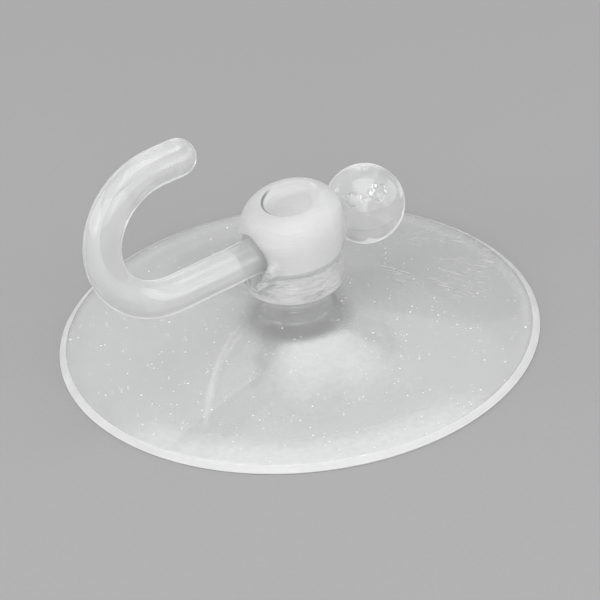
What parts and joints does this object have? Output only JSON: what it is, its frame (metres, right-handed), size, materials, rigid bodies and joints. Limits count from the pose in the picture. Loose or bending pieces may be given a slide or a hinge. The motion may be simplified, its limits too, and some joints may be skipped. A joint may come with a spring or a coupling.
{
  "type": "suction cup hook",
  "caption": "Clear soft suction cup whose head has a cross bore, with a swivelling plastic hook rod held in it by a round knob.",
  "frame": {"origin": "centre of the sealing face, on the surface that the cup grips", "axes": "+Z out of the surface along the cup's axis; X along the hook rod, +X towards its knob, the bend towards -X"},
  "size_m": [0.045, 0.045, 0.0246],
  "materials": {
    "clear_soft_plastic": "clear soft moulded plastic, glossy, dusty and finely scratched",
    "clear_hook_plastic": "clear hard moulded plastic, slightly milky, satin gloss"
  },
  "bodies": {
    "cup": {"suction_cup": "clear_soft_plastic"},
    "hook": {"hook": "clear_hook_plastic"}
  },
  "joints": [
    {"name": "hook_swivel", "type": "hinge", "parent": "cup", "child": "hook", "pos_m": [0, 0, 0.0101], "axis": [0.9994, 0, 0.0349], "range_deg": [-118, 118]}
  ]
}
